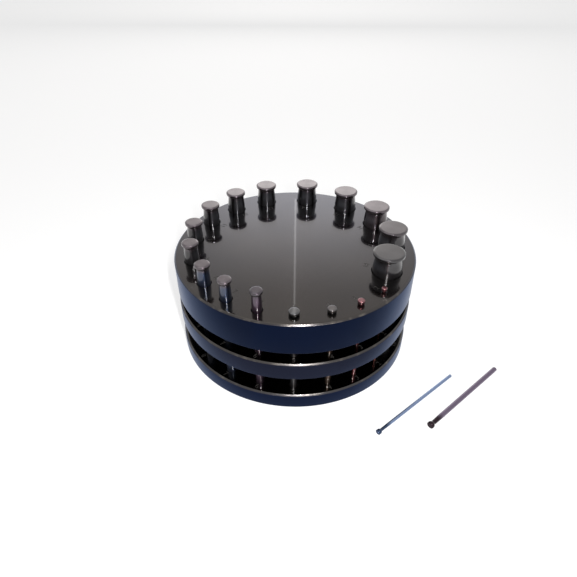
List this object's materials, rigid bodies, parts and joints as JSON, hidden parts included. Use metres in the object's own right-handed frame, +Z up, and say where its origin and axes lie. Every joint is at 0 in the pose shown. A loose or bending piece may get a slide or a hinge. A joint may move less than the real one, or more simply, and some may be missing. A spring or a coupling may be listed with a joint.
{
  "type": "disc cutter",
  "caption": "Round bench disc cutter: a guide plate over a die plate and a base plate, with a ring of headed punches, small to large, and spare thin punches beside it.",
  "frame": {"origin": "centre of the underside of the base plate, on the axis of the plates", "axes": "+Z up along the axis of the plates, -Y towards the side with the thin punches, where the picture is taken from"},
  "size_m": [0.2105, 0.1746, 0.081],
  "materials": {
    "blued_plate": "turned and blued, glossy",
    "black_spacer": "turned and blued, satin",
    "black_screw": "black oxide, satin",
    "ground_pin": "ground bright",
    "punch_steel": "hardened, ground shanks and tempered heads",
    "spare_punch_steel": "hardened, ground bright, darkened heads"
  },
  "bodies": {
    "plate_stack": {"guide_plate": "blued_plate", "die_plate": "blued_plate", "base_plate": "blued_plate", "upper_spacer": "black_spacer", "lower_spacer": "black_spacer", "clamp_screws": "black_screw", "dowel_pins": "ground_pin"},
    "punch_02mm": {"punch_02mm": "punch_steel"},
    "punch_03mm": {"punch_03mm": "punch_steel"},
    "punch_04mm": {"punch_04mm": "punch_steel"},
    "punch_05mm": {"punch_05mm": "punch_steel"},
    "punch_06mm": {"punch_06mm": "punch_steel"},
    "punch_07mm": {"punch_07mm": "punch_steel"},
    "punch_08mm": {"punch_08mm": "punch_steel"},
    "punch_09mm": {"punch_09mm": "punch_steel"},
    "punch_10mm": {"punch_10mm": "punch_steel"},
    "punch_11mm": {"punch_11mm": "punch_steel"},
    "punch_12mm": {"punch_12mm": "punch_steel"},
    "punch_13mm": {"punch_13mm": "punch_steel"},
    "punch_14mm": {"punch_14mm": "punch_steel"},
    "punch_15mm": {"punch_15mm": "punch_steel"},
    "punch_16mm": {"punch_16mm": "punch_steel"},
    "punch_17mm": {"punch_17mm": "punch_steel"},
    "punch_18mm": {"punch_18mm": "punch_steel"},
    "spare_punch_a": {"spare_punch_a": "spare_punch_steel"},
    "spare_punch_b": {"spare_punch_b": "spare_punch_steel"}
  },
  "joints": [
    {"name": "punch_02mm_lift", "type": "slide", "parent": "plate_stack", "child": "punch_02mm", "axis": [0, 0, 1], "range_m": [0, 0.071]},
    {"name": "punch_03mm_lift", "type": "slide", "parent": "plate_stack", "child": "punch_03mm", "axis": [0, 0, 1], "range_m": [0, 0.071]},
    {"name": "punch_04mm_lift", "type": "slide", "parent": "plate_stack", "child": "punch_04mm", "axis": [0, 0, 1], "range_m": [0, 0.071]},
    {"name": "punch_05mm_lift", "type": "slide", "parent": "plate_stack", "child": "punch_05mm", "axis": [0, 0, 1], "range_m": [0, 0.071]},
    {"name": "punch_06mm_lift", "type": "slide", "parent": "plate_stack", "child": "punch_06mm", "axis": [0, 0, 1], "range_m": [0, 0.06]},
    {"name": "punch_07mm_lift", "type": "slide", "parent": "plate_stack", "child": "punch_07mm", "axis": [0, 0, 1], "range_m": [0, 0.06]},
    {"name": "punch_08mm_lift", "type": "slide", "parent": "plate_stack", "child": "punch_08mm", "axis": [0, 0, 1], "range_m": [0, 0.06]},
    {"name": "punch_09mm_lift", "type": "slide", "parent": "plate_stack", "child": "punch_09mm", "axis": [0, 0, 1], "range_m": [0, 0.06]},
    {"name": "punch_10mm_lift", "type": "slide", "parent": "plate_stack", "child": "punch_10mm", "axis": [0, 0, 1], "range_m": [0, 0.06]},
    {"name": "punch_11mm_lift", "type": "slide", "parent": "plate_stack", "child": "punch_11mm", "axis": [0, 0, 1], "range_m": [0, 0.06]},
    {"name": "punch_12mm_lift", "type": "slide", "parent": "plate_stack", "child": "punch_12mm", "axis": [0, 0, 1], "range_m": [0, 0.06]},
    {"name": "punch_13mm_lift", "type": "slide", "parent": "plate_stack", "child": "punch_13mm", "axis": [0, 0, 1], "range_m": [0, 0.06]},
    {"name": "punch_14mm_lift", "type": "slide", "parent": "plate_stack", "child": "punch_14mm", "axis": [0, 0, 1], "range_m": [0, 0.06]},
    {"name": "punch_15mm_lift", "type": "slide", "parent": "plate_stack", "child": "punch_15mm", "axis": [0, 0, 1], "range_m": [0, 0.06]},
    {"name": "punch_16mm_lift", "type": "slide", "parent": "plate_stack", "child": "punch_16mm", "axis": [0, 0, 1], "range_m": [0, 0.06]},
    {"name": "punch_17mm_lift", "type": "slide", "parent": "plate_stack", "child": "punch_17mm", "axis": [0, 0, 1], "range_m": [0, 0.06]},
    {"name": "punch_18mm_lift", "type": "slide", "parent": "plate_stack", "child": "punch_18mm", "axis": [0, 0, 1], "range_m": [0, 0.06]},
    {"name": "spare_punch_a_pick_up", "type": "slide", "parent": "plate_stack", "child": "spare_punch_a", "axis": [0, 0, 1], "range_m": [0, 0.05]},
    {"name": "spare_punch_b_pick_up", "type": "slide", "parent": "plate_stack", "child": "spare_punch_b", "axis": [0, 0, 1], "range_m": [0, 0.05]}
  ]
}
